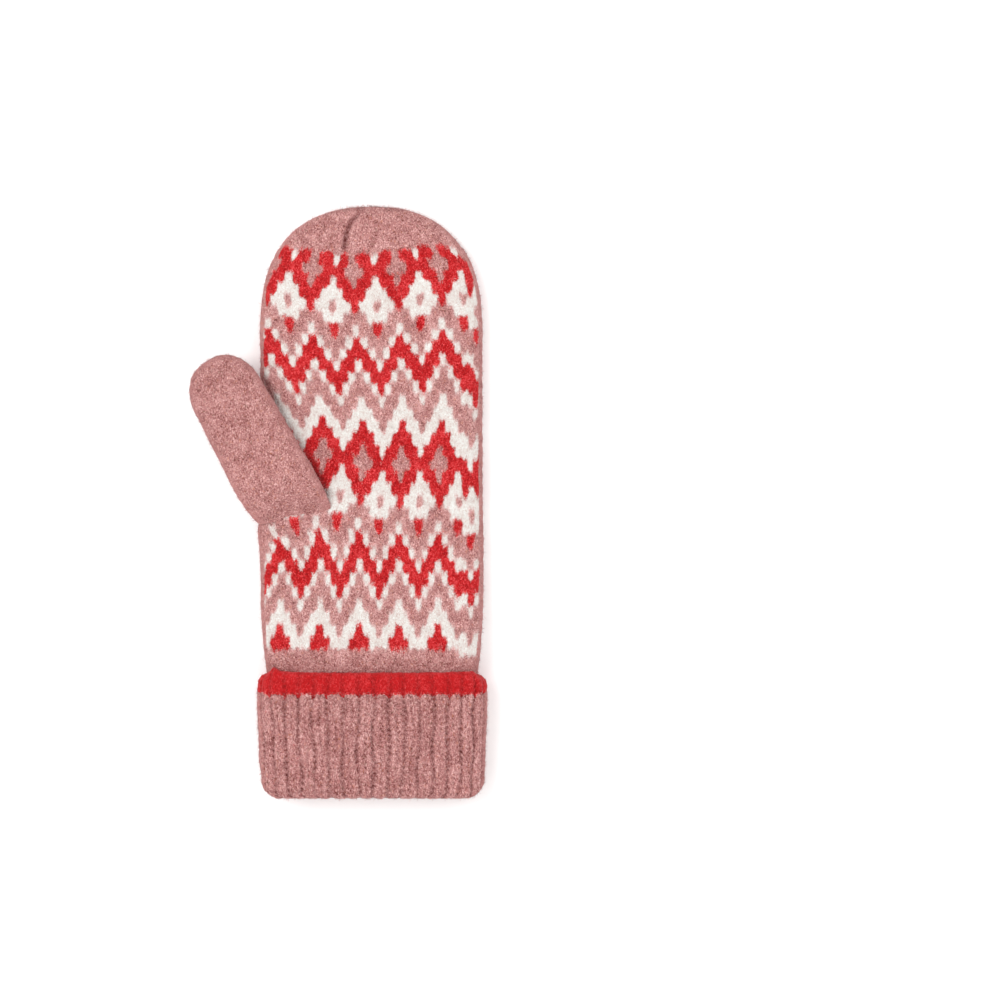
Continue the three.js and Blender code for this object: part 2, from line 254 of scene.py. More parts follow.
def woolly(finish, place, colour):
    """Sets the finish's shader: matt, faintly glowing at its edges, rough by its own grain"""
    shader = finish.shader.inputs
    finish.set(shader["Base Color"], colour)
    finish.set(shader["Roughness"], 0.95)
    finish.set(shader["Specular IOR Level"], 0.12)
    finish.set(shader["Sheen Weight"], 0.08)
    finish.set(shader["Sheen Roughness"], 0.6)
    height = finish.noise(place, 0.7, 3.0, 1.2)
    sockets = {"Strength": 0.75, "Distance": GRAIN_DEPTH * MM, "Height": height}
    finish.set(shader["Normal"], finish.node("Bump", None, sockets))
    return finish.material


def shaded(finish, place, colour):
    """Darkens the wool's colour where the attribute shade says, in broken patches, as hairs lie
    across it: painted shade in folds and grooves, and on the border also a deeper red all over
    """
    broken = finish.step(finish.noise(place, 0.9, 2.0, 0.8), 0.40, 0.58)
    share = finish.attribute("shade") * (0.4 + broken * 0.6)
    # the colour of the painted shade
    return finish.mix(share, colour, dye(88, 26, 24))


def plain_wool(name):
    """Rose alone, with painted shade where the attribute shade says"""
    finish = Finish(name)
    place = finish.place()
    flecks = 1 - finish.attribute("rim") * 0.6
    colour = strays(finish, place, mottled(finish, place, ROSE, flecks))
    return woolly(finish, place, shaded(finish, place, colour))


rose_wool = plain_wool("rose_wool")
print("plain wool", rose_wool.name, "with a grain of", GRAIN_DEPTH, "mm")

# %% [markdown]
# ## The chart
#
# A stranded pattern is knitted from a chart, one square for each stitch. This one repeats every 6
# stitches and every 16 rows: a row of small towers, a zigzag, and diamonds with flowers between.

# %% The chart and its yarns
REPEAT = """
wrrrww
wwrwwp
pwwwpp
ppwppw
wpppwr
rwpwrr
rrwrrw
wrrrwp
pwrwpp
ppwppr
wpppww
wwrwwp
wrrrww
rrprrw
rppprr
rrprrw
""".split()
ROSE_YARN, RED_YARN, CREAM_YARN = 0, 1, 2
CHART = np.array([["prw".index(letter) for letter in line] for line in REPEAT])
ROWS = 32
ROUND = 72
FIRST_COLUMN = -2
FRONT_COLUMNS = 15
BACK_COLUMNS = 14
BACK_ROWS = 1


def back_row(column, row):
    """The row on the back's cloth, which is drawn together a little beside the seam"""
    eased = np.interp(row, [-1, 4, 9, 32], [-0.42, -0.42, 0.15, 0.15])
    return np.where(np.abs(column) > FRONT_COLUMNS + 0.5, row + eased, row)


def yarn_at(column, row):
    """The yarn of whole stitches. The back's pattern starts anew at the seam"""
    column = (column + ROUND // 2) % ROUND - ROUND // 2
    front = np.abs(column) <= FRONT_COLUMNS
    across = np.where(front, column, column - BACK_COLUMNS).astype(int)
    up = np.where(front, row, row + BACK_ROWS).astype(int)
    found = CHART[up % len(CHART), (across - FIRST_COLUMN) % CHART.shape[1]]
    return np.where((up >= 0) & (up < ROWS), found, ROSE_YARN)


print("chart of", CHART.shape[0], "rows and", CHART.shape[1], "stitches")

# %% [markdown]
# ## One stitch
#
# A knit stitch is a V: two legs that lean apart and reach up beside the next row's stitch. Each
# place on the cloth belongs most to the stitch whose V it lies in, and a little to its neighbours,
# which gives the ragged, brushed border between two colours. The same V gives the relief.

# %% The V of a stitch
PRONG = 0.4
STITCH_REACH, STITCH_RISE, FALL = 0.5, 0.56, 0.95
LONE_PUFF = 2.2
NEIGHBOURS = ((-1, 0), (1, 0), (0, -1), (0, 1))


def shares_at(column, row):
    """How much red and how much cream shows at places on the cloth, 0 to 1. A lone red stitch
    puffs up, as nothing holds it down at its sides"""
    red, cream, whole = np.zeros(column.shape), np.zeros(column.shape), np.zeros(column.shape)
    for beside in (-1, 0, 1):
        stitch = np.rint(column) + beside
        aside = np.abs(column - stitch)
        raised = row - PRONG * aside
        for above in (-1, 0, 1):
            line = np.floor(raised) + above
            up = raised - line - 0.5
            reach = STITCH_REACH + 0.06 * np.clip(up, -0.7, 0.7)
            weight = np.exp(-FALL * (aside / reach) ** 2 - FALL * (up / STITCH_RISE) ** 2)
            yarn = yarn_at(stitch, line)
            near = [yarn_at(stitch + dx, line + dy) == RED_YARN for dx, dy in NEIGHBOURS]
            lone = (yarn == RED_YARN) & ~np.any(near, axis=0)
            weight = weight * np.where(lone, LONE_PUFF, 1.0)
            red += weight * (yarn == RED_YARN)
            cream += weight * (yarn == CREAM_YARN)
            whole += weight
    return red / whole, cream / whole


def relief_at(column, row):
    """The height of a stitch over the cloth, 0 to 1"""
    aside = np.abs(column - np.rint(column))
    up = (row - PRONG * aside) % 1
    leg = 0.5 - 0.5 * np.cos(4 * np.pi * aside)
    return leg * (0.45 + 0.55 * np.sin(np.pi * up) ** 0.7)


across_stitch = relief_at(np.linspace(-0.5, 0.5, 9), np.full(9, 0.5))
print("a stitch's relief across its middle:", across_stitch.round(2))

# %% [markdown]
# ## Rolling a flat grid up
#
# The cloth is a flat grid primitive with a few faces to a stitch. Code then sets every corner on
# its ring, which no row of operators could do at this fineness, and merging the two meeting edges
# closes the tube. The grid keeps its flat UV map, which is the cloth laid out.

# %% Grid, smooth curves, ovals and normals


def cloth(name, columns, rows):
    """A flat grid of columns by rows faces, with the column and row number of each corner"""
    deselect()
    bpy.ops.mesh.primitive_grid_add(x_subdivisions=columns, y_subdivisions=rows, size=1)
    piece = bpy.context.object
    piece.name = piece.data.name = name
    piece.data.uv_layers[0].name = "OFBake"
    flat = np.empty(len(piece.data.vertices) * 3, np.float32)
    piece.data.vertices.foreach_get("co", flat)
    flat = flat.reshape(-1, 3) + 0.5
    column = np.rint(flat[:, 0] * columns).astype(int)
    row = np.rint(flat[:, 1] * rows).astype(int)
    return piece, column, row


def soft_line(at, places, values):
    """A smooth line through the values at the places of a short table"""
    places, values = np.asarray(places, float), np.asarray(values, float)
    slopes = np.gradient(values, places)
    at = np.clip(at, places[0], places[-1])
    k = np.clip(np.searchsorted(places, at) - 1, 0, len(places) - 2)
    step = places[k + 1] - places[k]
    t = (at - places[k]) / step
    rising = t * t * (3 - 2 * t)
    start = (t * (1 - t) ** 2) * step * slopes[k]
    end = (t * t * (t - 1)) * step * slopes[k + 1]
    return (1 - rising) * values[k] + rising * values[k + 1] + start + end


def read_table(table, at):
    """The smooth values of a table's other columns at a place in its first"""
    return [float(soft_line(at, table[:, 0], values)) for values in table.T[1:]]


def end_turns(half_width, height, power, samples, step):
    """Angles of a rounded end, from its start to its tip, at even steps along its outline"""
    turns = np.linspace(0, np.pi / 2, samples)
    wide = half_width * np.cos(turns) ** power
    high = height * np.sin(turns) ** power
    run = np.concatenate([[0], np.cumsum(np.hypot(np.diff(wide), np.diff(high)))])
    return np.interp(np.linspace(0, run[-1], int(run[-1] / step) + 1), run, turns)


def oval(half_width, half_thick, squareness, shares):
    """Points of a flattened oval at shares of its length from its +X edge"""
    turn = np.linspace(0, 2 * np.pi, 721)
    reach = np.cos(turn)
    bulge = np.sqrt(np.maximum(0, 1 - np.abs(reach) ** squareness))
    x, z = half_width * reach, half_thick * bulge * np.sign(np.sin(turn))
    length = np.concatenate([[0], np.cumsum(np.hypot(np.diff(x), np.diff(z)))])
    at = (shares % 1) * length[-1]
    return np.interp(at, length, x), np.interp(at, length, z)


def normals_of(places):
    """Outward normals of a grid of places, in rows from -Y to +Y, whose columns run clockwise"""
    wrapped = np.concatenate([places[:, -2:-1], places, places[:, 1:2]], axis=1)
    across = wrapped[:, 2:] - wrapped[:, :-2]
    along = np.gradient(places, axis=0)
    normal = np.cross(across, along)
    size = np.linalg.norm(normal, axis=2, keepdims=True)
    tip = np.where(size < 1e-9, 1.0, 0.0) * np.array([0, 1, 0])
    return normal / np.maximum(size, 1e-9) + tip


def lumps(places, size, seed):
    """Smooth noise from about -1 to 1, with lumps of that size, at places in a grid"""
    shape = places.shape[:-1]
    flat = places.reshape(-1, 3) / size + seed * 7.3
    return np.array([noise.noise(Vector(place)) for place in flat]).reshape(shape)


def bell(distance, reach):
    """1 at no distance, falling softly to almost nothing at twice the reach"""
    return np.exp(-((distance / reach) ** 2))


def shift(values, low, high):
    """0 below low, 1 above high, soft between"""
    t = np.clip((values - low) / (high - low), 0, 1)
    return t * t * (3 - 2 * t)


def roll_up(piece, column, row, places, notes):
    """Sets the grid's corners on places in millimetres, notes its attributes and closes it"""
    mesh = piece.data
    placed = places[row, column] * MM + np.array([MIDDLE, FOLD, 0])
    mesh.vertices.foreach_set("co", placed.astype(np.float32).ravel())
    for name, values in notes.items():
        kept = mesh.attributes.new(name, "FLOAT", "POINT")
        kept.data.foreach_set("value", values[row, column].astype(np.float32).ravel())
    deselect()
    piece.select_set(True)
    bpy.context.view_layer.objects.active = piece
    bpy.ops.object.mode_set(mode="EDIT")
    bpy.ops.mesh.select_all(action="SELECT")
    bpy.ops.mesh.remove_doubles(threshold=1e-6)
    bpy.ops.mesh.normals_make_consistent(inside=False)
    bpy.ops.object.mode_set(mode="OBJECT")
    bpy.ops.object.shade_smooth()
    print(piece.name, "has", len(mesh.polygons), "faces")
    return piece


# %% [markdown]
# ## The hand
#
# Rings of a flattened oval carry the hand from inside the cuff to the crown, and the crown closes
# over the fingers as a rounded end. The levels are those of the CAD solid, drawn as smooth curves.
# The cloth runs from the tip of the hollow down its inside, round the wrist edge and up the
# outside to the crown's tip, so that the wall is one closed skin.

# %% The hand's rings
HAND_WIDTH, HAND_THICKNESS, HAND_WALL = 101.0, 16.0, 3.2
CUFF_HEIGHT, CROWN_HEIGHT, LENGTH, TUCK = 58.0, 57.0, 270.0, 14.0
CROWN_START = LENGTH - CROWN_HEIGHT
STRAIGHT = CROWN_START - CUFF_HEIGHT
PRESSED, GAP, HAND_LEAN = 0.3, 0.3, 1.0
CUFF_CENTRE = 12.48
CROWN_POWER, THINNING = 0.816, 0.55
HAND_SQUARE, END_SQUARE = 10.0, 2.6
HAND_TABLE = np.array([
    [0.0, 0.955, 1.06, 1.0],
    [0.05, 0.97, 1.05, 0.92],
    [0.11, 0.987, 1.02, 0.68],
    [0.19, 1.0, 1.0, 0.32],
    [0.27, 1.004, 0.99, 0.08],
    [0.36, 1.002, 0.99, 0.0],
    [0.5, 1.0, 1.0, 0.0],
    [0.66, 0.998, 1.0, 0.0],
    [0.83, 1.0, 1.0, 0.0],
    [1.0, 1.0, 1.0, 0.0],
])


def hand_levels(inset, step):
    """Height, half width, half thickness, centre and squareness of rings a step apart"""
    levels = []
    half_width, half_thick, crown = HAND_WIDTH / 2, HAND_THICKNESS / 2, CROWN_HEIGHT - inset
    for y in np.arange(CUFF_HEIGHT - TUCK, CROWN_START, step):
        width, thick, rise = read_table(HAND_TABLE, max(0.0, (y - CUFF_HEIGHT) / STRAIGHT))
        thick *= half_thick
        centre = (1 - rise) * (thick - PRESSED) + rise * CUFF_CENTRE
        levels.append((y, width * half_width - inset, thick - inset, centre, HAND_SQUARE))
    for turn in end_turns(half_width - inset, crown, CROWN_POWER, 2000, step):
        share = np.cos(turn) ** CROWN_POWER
        full = half_thick * np.cos(turn) ** THINNING
        thick = (half_thick - inset) * np.cos(turn) ** THINNING
        centre = full - PRESSED + (half_thick - full) * 0.5 * (1 - np.cos(turn))
        y = CROWN_START + crown * np.sin(turn) ** CROWN_POWER
        square = END_SQUARE + (HAND_SQUARE - END_SQUARE) * share
        levels.append((y, (half_width - inset) * share, thick, centre, square))
    return levels


outer_levels = hand_levels(0.0, 1.0)
inner_levels = hand_levels(HAND_WALL, 8.0)[::-1]
print("rings outside:", len(outer_levels), "and inside:", len(inner_levels))

# %% [markdown]
# The 72 columns of stitches aren't spread evenly: over the palm they are pulled a little wider
# towards the fingers, and the middle column wanders. Near the crown the rows lie lower in the
# middle of the palm than at its sides. The thumb pulls them up where it leaves the palm, and lets
# them sink at the side below its root.

# %% Columns and rows of the hand
FACES_PER_STITCH = 4
START_COLUMN = -34
HAND_COLUMNS = START_COLUMN + np.arange(ROUND * FACES_PER_STITCH + 1) / FACES_PER_STITCH
EDGE_COLUMNS = np.array([
    [58, -15.9, 2.0, 20.0],
    [72, -15.9, 1.95, 20.0],
    [100, -16.5, 1.85, 20.1],
    [116, -16.2, 1.85, 20.1],
    [127, -14.9, 1.95, 19.8],
    [136, -15.6, 1.6, 19.8],
    [154, -16.4, 1.25, 20.2],
    [173, -16.3, 1.25, 19.2],
    [188, -15.2, 1.55, 18.8],
    [227, -13.7, 2.2, 18.4],
    [248, -12.8, 2.3, 17.6],
    [270, -12.5, 2.4, 17.4],
])
ROW_HEIGHTS = np.array([
    [0, -11.3],
    [66.6, 0],
    [123.7, 9.7],
    [152.4, 14.7],
    [186.5, 20.7],
    [224.0, 27.7],
    [247.2, 32],
    [289.3, 39.4],
])
SIDE_COLUMN = ROUND // 4
QUARTERS = [-3 * SIDE_COLUMN, -SIDE_COLUMN, 0, SIDE_COLUMN, 3 * SIDE_COLUMN]
PRONG_SHIFT = 0.1
THUMB_PULL, THUMB_ROOT = 1.3, 121


def hand_ring(level):
    """One ring of the hand, and each column's distance from the side edge in stitches"""
    y, half_width, half_thick, centre, squareness = level
    left, middle, right = read_table(EDGE_COLUMNS, y)
    turned = np.interp(HAND_COLUMNS, [right - ROUND, left, middle, right, left + ROUND], QUARTERS)
    x, z = oval(max(half_width, 0), max(half_thick, 0), squareness, 0.25 - turned / ROUND)
    x = x - HAND_LEAN * max(0, y - CUFF_HEIGHT) / LENGTH
    x = x - THUMB_PULL * (x < -40) * bell(y - THUMB_ROOT, 8)
    ring = np.stack([x, np.full_like(x, y), np.maximum(centre + z, 0)], axis=1)
    edge = np.abs(np.abs((turned + ROUND / 2) % ROUND - ROUND / 2) - SIDE_COLUMN)
    return ring, edge


rings = [hand_ring(level) for level in outer_levels]
hand_places = np.array([ring for ring, _ in rings])
hand_edge = np.array([edge for _, edge in rings])
hand_normals = normals_of(hand_places)
print("hand of", hand_places.shape[0], "rings")


def hand_rows(places):
    """The chart's row at each place"""
    x, y = places[..., 0], places[..., 1]
    bow = 3.2 * shift(y, 160, 215) * np.minimum(((x + 8.2) / 30) ** 2, 1.2)
    pull = 5.0 * bell(x + 24, 15) * bell(y - 157, np.where(y > 157, 17, 28))
    pull += 1.8 * bell(x + 16, 16) * bell(y - 124, 10)
    pull -= 3.4 * bell(x + 47, 9) * bell(y - 116, 10)
    pull = pull * (places[..., 2] > HAND_THICKNESS / 2)
    return np.interp(y - bow - pull, ROW_HEIGHTS[:, 0], ROW_HEIGHTS[:, 1]) - PRONG_SHIFT


hand_row = hand_rows(hand_places)
hand_column = np.broadcast_to(HAND_COLUMNS, hand_row.shape)
print("rows of stitches from", hand_row.min().round(1), "to", hand_row.max().round(1))

# %% [markdown]
# Folds: a sharp dart where the crown is gathered on the palm side, gathers on the back, and two
# shallow dents of the palm. The dart is drawn along its own short line and pulls the cloth in from
# both sides. Shade is painted into the wool's colour in the dart and the gathers, on the palm
# beside the thumb where it lies on it, and on the hand next to the cuff's edge.

# %% Folds and dents
DART = np.array([
    [-4.2, 270.5],
    [-6.5, 266.5],
    [-9.2, 264.0],
    [-11.2, 259.5],
    [-12.3, 255.5],
    [-12.9, 250.5],
])
# the thumb's edge on the palm, along which its shadow is painted
THUMB_SHADOW_EDGE = ([-50.2, 192.5], [-20.4, 139.0])
GATHERS = [
    ([-15, 270], [-21, 252], 1.1),
    ([-5, 270], [-6, 246], 1.6),
    ([5, 270], [7, 248], 1.5),
    ([15, 270], [20, 253], 1.1),
]
DENTS = [
    ((15, 78), (16, 12), 0.7),
    ((22, 166), (16, 26), 0.6),
]


def gathered(places, normals):
    """Places of the crown pulled sideways towards the dart, which swallows a stitch"""
    x, y = places[..., 0], places[..., 1]
    aside = x - np.interp(y, DART[::-1, 1], DART[::-1, 0])
    pull = 3.0 * np.sign(aside) * (1 - bell(aside, 3)) * np.exp(-np.abs(aside) / 9)
    pull = pull * shift(y, 232, 248) * (1 - shift(y, 262, 269))
    pulled = places.copy()
    pulled[..., 0] -= pull * shift(normals[..., 2], 0.2, 0.8)
    return pulled


def line_distance(places, start, end):
    """Distance in millimetres from a line seen from above, and how far along it"""
    start, end = np.array(start, float), np.array(end, float)
    line = end - start
    here = places[..., :2] - start
    along = np.clip((here @ line) / (line @ line), 0, 1)
    return np.linalg.norm(here - along[..., None] * line, axis=-1), along


def fold_depth(places, normals):
    """Depth of the folds in millimetres, and the painted shade: in the dart and the gathers,
    beside the thumb and next to the cuff's edge
    """
    palm, back = np.maximum(normals[..., 2], 0), np.maximum(-normals[..., 2], 0)
    nearest = np.full(places.shape[:-1], 99.0)
    for start, end in zip(DART[:-1], DART[1:]):
        nearest = np.minimum(nearest, line_distance(places, start, end)[0])
    x, y = places[..., 0], places[..., 1]
    depth = palm * (1.5 * bell(nearest, 0.9) - 0.6 * bell(nearest - 4, 3))
    # painted shade along the dart, fainter towards its top
    shade = palm * bell(nearest, 1.0) * (1 - 0.5 * shift(y, 260, 267)) * shift(y, 248.5, 252.5)
    for start, end, deep in GATHERS:
        far, along = line_distance(places, start, end)
        strength = back * (1 - 0.6 * along)
        depth += strength * deep * bell(far, 1.7)
        # painted shade in the gathers
        shade += strength * 0.35 * bell(far, 1.3)
    for (middle_x, middle_y), (wide, tall), deep in DENTS:
        depth += palm * deep * bell(x - middle_x, wide) * bell(y - middle_y, tall)
    # painted shadow on the palm beside the thumb, darkest at both ends
    beside, along = line_distance(places, *THUMB_SHADOW_EDGE)
    strength = np.interp(along, [0, 0.2, 0.35, 0.6, 0.75, 1], [0.9, 0.8, 0.3, 0.3, 0.85, 0.85])
    shade = np.maximum(shade, palm * strength * bell(beside, 1.9))
    # painted shade on the hand next to the cuff's edge
    wrist = 0.3 * (1 - shift(y, 58.5, 66)) * shift(y, 50, 57)
    return depth, np.maximum(shade, wrist)


hand_places = gathered(hand_places, hand_normals)
fold, hand_shade = fold_depth(hand_places, hand_normals)
print("deepest fold", fold.max().round(2), "mm")

# %% Knit the hand
UNEVEN = 0.17
wrapped = (hand_column + ROUND / 2) % ROUND - ROUND / 2
uneven_column = hand_column + UNEVEN * lumps(hand_places, 3.3, 21)
uneven_row = back_row(wrapped, hand_row) + UNEVEN * lumps(hand_places, 3.7, 22)
red, cream = shares_at(uneven_column, uneven_row)
kept = shift(hand_edge, 1.25, 1.75)
outside = {
    "red": red * kept,
    "cream": cream * kept,
    "rim": 1 - shift(hand_edge, 0.8, 2.6),
    "shade": hand_shade,
    "outside": np.ones(hand_edge.shape),
}
height = 0.42 * relief_at(hand_column, hand_row) * np.where(hand_row > ROWS, 0.5, 1.0)
height += 0.35 * lumps(hand_places, 14, 1) + 0.16 * lumps(hand_places, 2.1, 2)
height = height * shift(hand_places[..., 1], 56, 63) - fold
raised = hand_places + hand_normals * height[..., None]
raised[..., 2] = np.maximum(raised[..., 2], 0)
inside_places = np.array([hand_ring(level)[0] for level in inner_levels])
hand_grid = np.concatenate([inside_places, raised])
inside = np.zeros(inside_places.shape[:2])
notes = {name: np.concatenate([inside, values]) for name, values in outside.items()}
piece, column, row = cloth("knit_hand", len(HAND_COLUMNS) - 1, len(hand_grid) - 1)
knit_hand = roll_up(piece, column, row, hand_grid, notes)

# %% [markdown]
# The hand's finish reads the shares of red and cream from the stitches and lets noise decide where
# the border lies, hair by hair.

# %% The patterned wool


def patterned_wool(name, drawn=0.75, fleck=1.0):
    """Rose with red and cream where the attributes say so. fleck is the share of flecks in red"""
    finish = Finish(name)
    place = finish.place(drawn)
    flecks = 1 - finish.attribute("rim") * 0.6
    rose = strays(finish, place, mottled(finish, place, ROSE, flecks))
    rose = finish.mix(finish.attribute("cream") * 0.45, rose, dye(232, 196, 192))
    hairs = (finish.noise(place, 0.6, 3.0, 1.5) - 0.5) * 1.7
    hairs = hairs + (finish.noise(place, 2.4, 1.0) - 0.5) * 0.7
    red_share = finish.step(finish.attribute("red") + hairs, 0.26, 0.62)
    cream_share = finish.step(finish.attribute("cream") - hairs * 0.6, 0.36, 0.84)
    colour = finish.mix(red_share, rose, mottled(finish, place, RED, flecks * fleck))
    colour = finish.mix(cream_share, colour, mottled(finish, place, CREAM, flecks))
    return woolly(finish, place, shaded(finish, place, colour))


knit_hand.data.materials.append(patterned_wool("patterned_wool"))
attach(knit_hand, "root")
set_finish(knit_hand, "pattern_knit")
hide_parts("hand")

# %% [markdown]
# ## The thumb
#
# The thumb is a second, smaller tube in plain rose, whose root folds down on to the palm. It lies
# across the hand's edge and sinks a little towards the surface where it leaves it.

# %% The thumb's rings
THUMB_LENGTH, THUMB_WIDTH, THUMB_THICKNESS, THUMB_TIP = 81.3, 36.0, 13.0, 21.0
THUMB_TURN = np.radians(29)
THUMB_ASIDE, THUMB_BASE, THUMB_SKEW = 0.703, 0.455, 0.38
OVERHANG_START, OVERHANG_SLOPE, OVERHANG_REACH = 0.8, 0.32, 12
TIP_WIDTH, TIP_POWER, THUMB_SQUARE = 0.93, 0.851, 4.0
THUMB_TABLE = np.array([
    [0.0, 0.86, 0.06],
    [0.025, 0.92, 0.2],
    [0.07, 0.96, 0.44],
    [0.14, 0.99, 0.73],
    [0.24, 1.0, 0.95],
    [0.42, 0.98, 1.0],
    [0.6, 0.965, 1.0],
    [0.747, 0.93, 1.0],
])
PALM = HAND_THICKNESS - PRESSED
THUMB_COLUMNS, THUMB_STITCHES, THUMB_ROW = 136, 30, 5.4


def thumb_levels(step):
    """Height, half width, half thickness and squareness of the thumb's rings, root to tip"""
    levels = []
    tip_start, tip_width = THUMB_LENGTH - THUMB_TIP, THUMB_WIDTH / 2 * TIP_WIDTH
    for y in np.arange(0, tip_start, step):
        width, thick = read_table(THUMB_TABLE, y / THUMB_LENGTH)
        levels.append((y, width * THUMB_WIDTH / 2, thick * THUMB_THICKNESS / 2, THUMB_SQUARE))
    for turn in end_turns(tip_width, THUMB_TIP, TIP_POWER, 1000, step):
        share = np.cos(turn) ** TIP_POWER
        y = tip_start + THUMB_TIP * np.sin(turn) ** TIP_POWER
        thick = THUMB_THICKNESS / 2 * np.cos(turn) ** THINNING
        square = END_SQUARE + (THUMB_SQUARE - END_SQUARE) * share
        levels.append((y, tip_width * share, thick, square))
    return levels


def thumb_ring(level):
    """One ring of the thumb, laid on the palm, into which its root merges"""
    up, half_width, half_thick, squareness = level
    shares = 0.25 - np.arange(THUMB_COLUMNS + 1) / THUMB_COLUMNS
    across, z = oval(max(half_width, 0), max(half_thick, 0), squareness, shares)
    lifted = shift(up / THUMB_LENGTH - 0.5, 0, 1)
    centre = (1 - lifted) * half_thick + lifted * THUMB_THICKNESS / 2 - PRESSED
    along = up - THUMB_SKEW * across * (1 - shift(up / (THUMB_LENGTH * 0.5), 0, 1))
    along = along - 1.7 * shift(-across, 3, 14) * (1 - shift(up, 0, 16))
    x = across * np.cos(THUMB_TURN) - along * np.sin(THUMB_TURN) - THUMB_ASIDE * HAND_WIDTH / 2
    y = across * np.sin(THUMB_TURN) + along * np.cos(THUMB_TURN)
    y = y + CUFF_HEIGHT + THUMB_BASE * STRAIGHT
    past = np.maximum(0, -x - OVERHANG_START * HAND_WIDTH / 2)
    sunk = OVERHANG_SLOPE * (np.hypot(past, OVERHANG_REACH) - OVERHANG_REACH)
    merged = (1 - shift(up, 0, 9)) * shift(across, -14, -4)
    z = PALM + GAP + np.maximum(0, centre + z) - sunk - merged
    return np.stack([x, y, z], axis=1)


thumb_rings = thumb_levels(0.62)
thumb_places = np.array([thumb_ring(level) for level in thumb_rings])
thumb_normals = normals_of(thumb_places)
heights = np.array([level[0] for level in thumb_rings])[:, None]
thumb_along = heights * np.ones(THUMB_COLUMNS + 1)
thumb_column = np.arange(THUMB_COLUMNS + 1) / THUMB_COLUMNS * THUMB_STITCHES
thumb_column = thumb_column * np.ones(thumb_along.shape)
print("thumb rings:", len(thumb_rings))

# %% Knit the thumb
height = 0.22 * relief_at(thumb_column, thumb_along / THUMB_ROW)
height += 0.3 * lumps(thumb_places, 11, 3) + 0.16 * lumps(thumb_places, 2.0, 4)
height *= shift(thumb_along, 0, 4)
raised = thumb_places + thumb_normals * height[..., None]
edge = np.abs((thumb_column / THUMB_STITCHES * 2) % 1 - 0.5) * THUMB_STITCHES / 2
tip = 1 - shift(thumb_along, THUMB_LENGTH - 4, THUMB_LENGTH - 1)
notes = {
    "rim": 1 - shift(edge, 0.8, 2.4) * tip,
    # painted shade that darkens the thumb's outer part, from about 22 mm along it to its tip
    "shade": 0.13 * shift(thumb_along, 22, 52),
    "red": np.zeros(edge.shape),
    "cream": np.zeros(edge.shape),
    "outside": np.ones(edge.shape),
}
root = thumb_places[:1].copy()
root[..., :] = thumb_places[:1].mean(axis=1, keepdims=True)
thumb_grid = np.concatenate([root, raised])
notes = {name: np.concatenate([values[:1], values]) for name, values in notes.items()}
piece, column, row = cloth("knit_thumb", THUMB_COLUMNS, len(thumb_grid) - 1)
knit_thumb = roll_up(piece, column, row, thumb_grid, notes)
knit_thumb.data.materials.append(rose_wool)
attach(knit_thumb, "root")
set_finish(knit_thumb, "rose_knit")
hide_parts("thumb")

# %% [markdown]
# ## The cuff
#
# The cuff is one ribbed wall, folded at the wrist and turned up over itself. Its profile is walked
# once round: down the outer layer's face, round the fold, up the inner layer, and back between the
# two. A row of the profile holds the height, the way out from the wrist, the share of the ribs, of
# the rounded corner and of the zigzag, and 1 where the place shows.

# %% The ribs and the cuff's profile
RIBS, FACES_PER_RIB = 36, 10
CUFF_COLUMNS = RIBS * FACES_PER_RIB
CUFF_WALL, EDGE_HEIGHT = 3.5, 10.0
WRIST_WIDTH, WRIST_THICK = HAND_WIDTH / 2 * HAND_TABLE[0, 1], HAND_THICKNESS / 2 * HAND_TABLE[0, 2]
BAND = CUFF_HEIGHT - EDGE_HEIGHT
FOLD_RADIUS = CUFF_WALL + GAP / 2
OUTER = GAP + CUFF_WALL
RIB_DEPTH, ZIGZAG, STITCH_STEP, FIRST_RIB = 1.4, 1.5, 2.7, 0.384
RIB_TOP, CORNER, EDGE_CORNER, SEAM, SIDESTEP = 0.35, 5.5, 3.0, 0.04, 0.002


def swell(y):
    """How far the outer layer stands out: a little in its middle, less towards the fold"""
    return 0.4 * np.sin(np.pi * np.clip(y / CUFF_HEIGHT, 0, 1)) - 0.9 * shift(BAND - y, 2, 26)


def rib_phase(y):
    """Which rib each column lies on: the ribs wander a little on their way up"""
    shares = np.arange(CUFF_COLUMNS + 1) / CUFF_COLUMNS
    turn = 2 * np.pi * shares
    stretched = shares - 0.07 * np.sin(2 * turn) / (4 * np.pi)
    wander = 0.05 * np.sin(3 * turn + y / 9) + 0.07 * np.sin(7 * turn - y / 6)
    wander += 0.05 * np.sin(19 * turn + y / 4)
    wander += 0.06 * np.sin(2 * np.pi * y / STITCH_STEP + 11 * np.sin(5 * shares * RIBS))
    return stretched * RIBS + wander + FIRST_RIB


def rib_height(phase):
    """A rounded ridge: -1 in a groove, 0.05 in the line down its middle and 0.31 beside that"""
    aside = 2 * np.abs(phase - np.rint(phase))
    return RIB_TOP - (1 + RIB_TOP) * aside ** 3 - 0.3 * bell(aside, 0.16)


